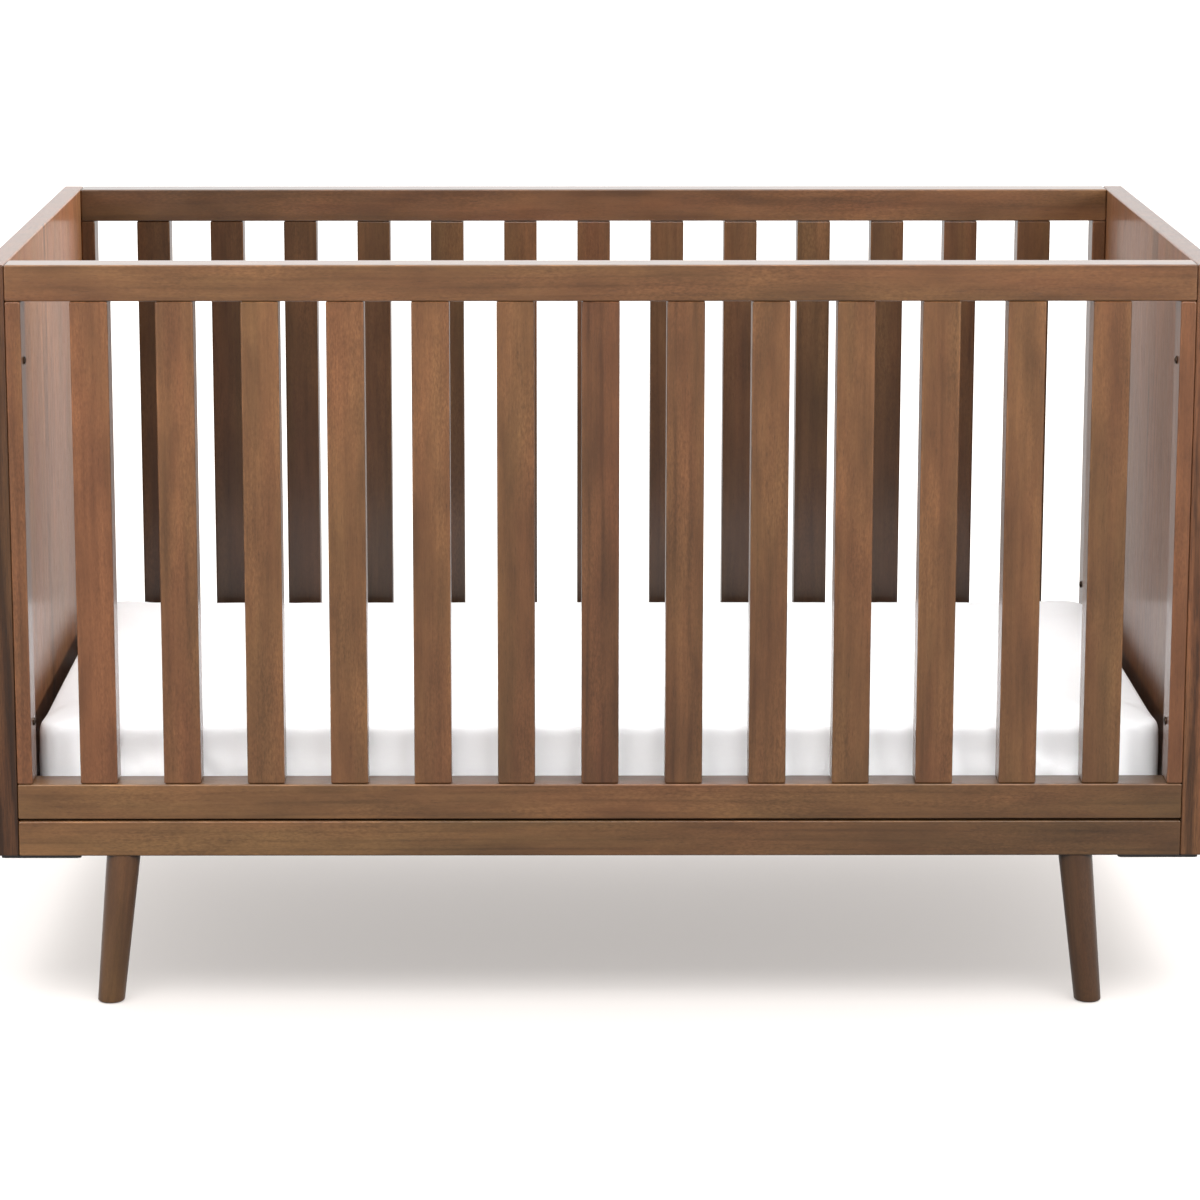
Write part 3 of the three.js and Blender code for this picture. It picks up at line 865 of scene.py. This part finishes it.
def add_stile_bolts(side, end, material):
    """Two bolts run through each stile into the end panel, their heads on the stile's inner face."""
    low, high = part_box(f"{side}_stile_{end}")
    face = low.x if end == "right" else high.x
    middle = (low.y + high.y) / 2
    inward = (-ENDS[end], 0, 0)
    head = bolt_head("head", STILE_HEAD_RADIUS, STILE_HEAD_HEIGHT, STILE_HEAD_RADIUS * 0.46)
    heights = (low.z + STILE_BOLT_INSET, high.z - STILE_BOLT_INSET)
    parts = [(head, facing((face, middle, z), inward)) for z in heights]
    add_piece(f"stile_bolts_{side}_{end}", joined("stile_bolts", parts), "crib_frame",
              material)


def add_plate_screws(side, end, material):
    low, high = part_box(f"corner_plate_{side}_{end}")
    head = bolt_head("head", PLATE_HEAD_RADIUS, PLATE_HEAD_HEIGHT, PLATE_HEAD_RADIUS * 0.45)
    middle = (low.y + high.y) / 2
    places = [(x, middle, low.z) for x in (low.x + PLATE_SCREW_INSET, high.x - PLATE_SCREW_INSET)]
    parts = [(head, facing(place, (0, 0, -1))) for place in places]
    add_piece(f"plate_screws_{side}_{end}", joined("plate_screws", parts), "crib_frame",
              material)


def add_support_bolt(side, end, material):
    node = f"support_bolt_{side}_{end}"
    low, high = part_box(node)
    inward = -ENDS[end]
    face = support_bolt_place(side, end)
    head_foot = face.copy()
    head_foot.x = (high.x if inward > 0 else low.x) - inward * SUPPORT_HEAD_HEIGHT
    length = abs(head_foot.x - face.x)
    shank = turned("shank", [(0, SUPPORT_SHANK_RADIUS), (length, SUPPORT_SHANK_RADIUS)], 32)
    head = bolt_head("head", SUPPORT_HEAD_RADIUS, SUPPORT_HEAD_HEIGHT, SUPPORT_HEAD_RADIUS * 0.42)
    parts = [(head, facing(head_foot, (inward, 0, 0))), (shank, facing(face, (inward, 0, 0)))]
    mesh = joined(node, parts)
    add_piece(f"{node}_detail", mesh, "mattress_support", material, [node])


def refine_cad_node(node, material, ease):
    """Keeps a CAD piece as it is, breaks its sharp edges, and gives it its finish."""
    item = frame["nodes"][node]
    item.data.materials.clear()
    item.data.materials.append(material)
    bevel = item.modifiers.new("broken_edges", "BEVEL")
    bevel.width = ease
    bevel.segments = 2
    bevel.limit_method = "ANGLE"
    bevel.angle_limit = math.radians(40)


# ---- spring deck ----------------------------------------------------------------------------

def deck_grid():
    """Half spans of the deck's edge wires and of its bars, and its top."""
    low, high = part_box("spring_deck")
    edge_x = high.x - SPRING_STRETCH - EDGE_WIRE / 2
    edge_y = high.y - SPRING_STRETCH - EDGE_WIRE / 2
    return edge_x, edge_y, high


def even_places(half_span, cells):
    return [half_span * (2 * i / cells - 1) for i in range(cells + 1)]


def deck_wires():
    edge_x, edge_y, high = deck_grid()
    upper = high.z - DECK_WIRE / 2
    lower = upper - DECK_WIRE
    lengthwise = [[(-edge_x, y, upper), (edge_x, y, upper)] for y in even_places(edge_y, DECK_ROWS)]
    crosswise = [[(x, -edge_y, lower), (x, edge_y, lower)] for x in even_places(edge_x, DECK_COLUMNS)]
    return lengthwise + crosswise


def link_wires():
    """Thinner wires at the middle of every cell."""
    edge_x, edge_y, high = deck_grid()
    upper = high.z - DECK_WIRE / 2
    lower = upper - (DECK_WIRE + LINK_WIRE) / 2
    half_x, half_y = edge_x / DECK_COLUMNS, edge_y / DECK_ROWS
    lines = [[(-edge_x, y + half_y, upper), (edge_x, y + half_y, upper)]
             for y in even_places(edge_y, DECK_ROWS)[:-1]]
    lines += [[(x + half_x, -edge_y, lower), (x + half_x, edge_y, lower)]
              for x in even_places(edge_x, DECK_COLUMNS)[:-1]]
    return lines


def edge_wire():
    """One thick wire all round, with bent corners."""
    edge_x, edge_y, high = deck_grid()
    bend = EDGE_WIRE_BEND
    level = high.z - DECK_WIRE - EDGE_WIRE / 2
    line = []
    for corner, (sx, sy) in enumerate(((1, 1), (-1, 1), (-1, -1), (1, -1))):
        for i in range(EDGE_WIRE_STEPS + 1):
            turn = math.pi / 2 * (corner + i / EDGE_WIRE_STEPS)
            line.append((sx * (edge_x - bend) + bend * math.cos(turn),
                         sy * (edge_y - bend) + bend * math.sin(turn), level))
    return [line + [line[0]]]


def spring_line(start, end):
    """A coil from start to end, drawn out into a hook at each end. The outer hook runs on under the
    angle bar, up to its flat leg."""
    start, end = Vector(start), Vector(end)
    axis = (end - start).normalized()
    side = Vector((0, 0, 1))
    other = axis.cross(side)
    length = (end - start).length - 2 * SPRING_HOOK
    steps = SPRING_TURNS * SPRING_TURN_STEPS
    line = [start]
    for i in range(steps + 1):
        turn = 2 * math.pi * SPRING_TURNS * i / steps
        place = start + axis * (SPRING_HOOK + length * i / steps)
        line.append(place + SPRING_RADIUS * (math.cos(turn) * side + math.sin(turn) * other))
    rise = DECK_WIRE + SPRING_RADIUS - BAR_THICKNESS - SPRING_WIRE / 2
    line.append(end)
    line.append(end + axis * HOOK_REACH + side * rise)
    return line


def spring_lines():
    edge_x, edge_y, high = deck_grid()
    level = high.z - DECK_WIRE - SPRING_RADIUS
    lines = []
    for x in even_places(edge_x, DECK_COLUMNS)[1:-1]:
        for sign in SIDES.values():
            lines.append(spring_line((x, sign * edge_y, level), (x, sign * high.y, level)))
    for y in even_places(edge_y, DECK_ROWS)[1:-1]:
        for sign in ENDS.values():
            lines.append(spring_line((sign * edge_x, y, level), (sign * high.x, y, level)))
    return lines


def add_spring_deck(material):
    parts = [
        (wires("deck_wires", deck_wires(), DECK_WIRE), Matrix.Identity(4)),
        (wires("link_wires", link_wires(), LINK_WIRE), Matrix.Identity(4)),
        (wires("edge_wire", edge_wire(), EDGE_WIRE), Matrix.Identity(4)),
    ]
    add_piece("spring_deck_wires", joined("deck", parts), "mattress_support", material,
              ["spring_deck"])
    add_piece("deck_coil_springs", wires("springs", spring_lines(), SPRING_WIRE, 2), "mattress_support",
              material)


# ---- mattress -------------------------------------------------------------------------------

def mattress_blank(low, high):
    """A block with upright round corners and softer top and bottom edges."""
    size = high - low
    edit = bmesh.new()
    place = Matrix.Translation((low + high) / 2) @ Matrix.Diagonal((*size, 1))
    bmesh.ops.create_cube(edit, size=1, matrix=place)
    upright = [e for e in edit.edges if abs(e.verts[0].co.z - e.verts[1].co.z) > size.z / 2]
    bmesh.ops.bevel(edit, geom=upright, offset=MATTRESS_CORNER, segments=MATTRESS_CORNER_STEPS,
                    profile=0.5, affect="EDGES")
    rims = [e for e in edit.edges if len(e.link_faces) == 2 and
            abs(e.link_faces[0].normal.z) + abs(e.link_faces[1].normal.z) > 0.9 and
            abs(e.verts[0].co.z - e.verts[1].co.z) < 1e-6]
    bmesh.ops.bevel(edit, geom=rims, offset=MATTRESS_EDGE, segments=MATTRESS_EDGE_STEPS,
                    profile=0.5, affect="EDGES")
    mesh = bpy.data.meshes.new("mattress_blank")
    edit.to_mesh(mesh)
    edit.free()
    return mesh


def remeshed(mesh, voxel):
    item = bpy.data.objects.new("remeshing", mesh)
    bpy.context.scene.collection.objects.link(item)
    remesh = item.modifiers.new("even_quads", "REMESH")
    remesh.mode = "VOXEL"
    remesh.voxel_size = voxel
    result = evaluated_mesh(item)
    bpy.data.objects.remove(item)
    return result


def blown_up(mesh):
    """Fills the cover with foam: a cloth simulation with pressure and no gravity."""
    item = bpy.data.objects.new("simulating", mesh)
    scene = bpy.context.scene
    scene.collection.objects.link(item)
    cloth = item.modifiers.new("cloth", "CLOTH").settings
    cloth.quality = 5
    cloth.mass = 0.3
    cloth.tension_stiffness = cloth.compression_stiffness = 25
    cloth.shear_stiffness = 8
    cloth.bending_stiffness = 2
    cloth.use_pressure = True
    cloth.uniform_pressure_force = MATTRESS_PRESSURE
    cloth.effector_weights.gravity = 0
    for step in range(1, MATTRESS_FRAMES + 1):
        scene.frame_set(step)
    result = evaluated_mesh(item)
    bpy.data.objects.remove(item)
    scene.frame_set(1)
    return points_of(result)


def crowned(points, moved, bottom):
    """Keeps the swelling within a few millimetres, and the underside flat on the deck."""
    shift = moved - points
    length = np.maximum(np.linalg.norm(shift, axis=1), 1e-9)
    kept = MATTRESS_SWELL * np.tanh(length / MATTRESS_SWELL) / length
    points = points + shift * kept[:, None]
    points[:, 2] = np.maximum(points[:, 2], bottom)
    return points


def add_mattress(material):
    low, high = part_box("mattress_cover")
    slack = Vector((MATTRESS_SLACK, MATTRESS_SLACK, 0))
    start_low, start_high = low + slack, high - slack - Vector((0, 0, MATTRESS_SLACK))
    mesh = remeshed(mattress_blank(start_low, start_high), MATTRESS_VOXEL)
    points = points_of(mesh)
    points = crowned(points, blown_up(mesh.copy()), low.z)
    mesh.vertices.foreach_set("co", points.ravel())
    mesh.update()
    mesh.shade_smooth()
    pad = add_piece("mattress_pad", mesh, "mattress", material,
                    ["mattress_cover", "mattress_core"])
    smooth = pad.modifiers.new("smooth", "SUBSURF")
    smooth.levels = smooth.render_levels = 1
    return pad


def zip_path(pad, heights):
    """Points on the back face of the mattress: a row for each height above or below the zip."""
    mesh = evaluated_mesh(pad)
    faces = [tuple(face.vertices) for face in mesh.polygons]
    tree = BVHTree.FromPolygons([vertex.co for vertex in mesh.vertices], faces)
    low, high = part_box("mattress_cover")
    outside = high.y + 50 * MM
    rows = []
    for height in heights:
        level = low.z + ZIP_LEVEL + height
        starts = [Vector((ZIP_LENGTH * (i / ZIP_STATIONS - 0.5), outside, level))
                  for i in range(ZIP_STATIONS + 1)]
        rows.append([tree.ray_cast(start, Vector((0, -1, 0)))[0] for start in starts])
    bpy.data.meshes.remove(mesh)
    return rows


def zip_tape(rows):
    """A thin closed strip that lies on the rows, its long edges bent in to the cover."""
    proud, sunk, edge = (Vector((0, out * MM, 0)) for out in (0.5, -0.8, -0.16))
    lifts = [edge] + [proud] * (len(rows) - 2) + [edge]
    loop = [[place + lift for place in row] for row, lift in zip(rows, lifts)]
    loop += [[place + sunk for place in row] for row in reversed(rows)]
    count = len(rows[0])
    points = [place for row in loop for place in row]
    faces = []
    for r in range(len(loop)):
        after = (r + 1) % len(loop)
        for i in range(count - 1):
            here, there = r * count + i, after * count + i
            faces.append((here, here + 1, there + 1, there))
    faces.append(tuple(r * count for r in range(len(loop))))
    faces.append(tuple(r * count + count - 1 for r in reversed(range(len(loop)))))
    mesh = bpy.data.meshes.new("zip_tape")
    mesh.from_pydata(points, [], faces)
    mesh.shade_smooth()
    mesh.set_sharp_from_angle(angle=math.radians(50))
    return mesh


def zip_coil(row):
    """The closed teeth: a flattened nylon coil that lies along the middle of the tape."""
    start, end = row[0].x, row[-1].x
    steps = int(ZIP_COIL_STEPS * (end - start) / ZIP_COIL_PITCH)
    line = []
    for i in range(steps + 1):
        share = i / steps * (len(row) - 1)
        before = min(int(share), len(row) - 2)
        place = row[before].lerp(row[before + 1], share - before)
        turn = 2 * math.pi * i / ZIP_COIL_STEPS
        out = 0.6 * MM * (1 + math.cos(turn))
        line.append(place + Vector((0, out, ZIP_COIL_RADIUS * math.sin(turn))))
    return wires("zip_coil", [line], ZIP_COIL_WIRE, 1)


def zip_slider(place):
    """The slider's body, and the pull that hangs from its bridge."""
    parts = []
    for low, high in (((-5, -1.0, -4), (5, 2.2, 4)), ((-1.6, 2.0, -1.6), (1.6, 3.6, 1.6)),
                      ((-2.4, 2.8, -23), (2.4, 4.2, 1))):
        part = rounded_board("part", Vector(low) * MM, Vector(high) * MM, 0.55 * MM)
        parts.append((part, Matrix.Translation(place)))
    return joined("zip_slider", parts)


def add_zip(pad, cloth, metal):
    half = ZIP_TAPE_HALF_WIDTH
    rows = zip_path(pad, (-half, -0.9 * half, 0, 0.9 * half, half))
    add_piece("zip_tape", zip_tape(rows), "mattress", cloth)
    add_piece("zip_coil", zip_coil(rows[2]), "mattress", cloth)
    add_piece("zip_slider", zip_slider(rows[2][-3]), "mattress", metal)


# ---- the whole crib -------------------------------------------------------------------------

def build():
    walnut, veneer = walnut_wood(), panel_veneer()
    black, zinc, bronze = powder_coat(), zinc_plate(), bolt_bronze()
    for end in ENDS:
        add_end_panel(end, veneer)
        add_inserts(end, zinc)
        refine_cad_node(f"support_bar_{end}", zinc, ZINC_EASE)
    for side in SIDES:
        add_side_frame(side, walnut)
        refine_cad_node(f"support_bar_{side}", zinc, ZINC_EASE)
        for end in ENDS:
            add_leg(side, end, walnut)
            add_stile_bolts(side, end, bronze)
            add_plate_screws(side, end, black)
            add_support_bolt(side, end, zinc)
            refine_cad_node(f"corner_plate_{side}_{end}", black, PLATE_EASE)
    add_spring_deck(zinc)
    fabric = mattress_fabric()
    add_zip(add_mattress(fabric), fabric, zinc)


bpy.context.scene.view_settings.view_transform = "Standard"
make_camera()
make_world()
build()
make_lights(make_floor())
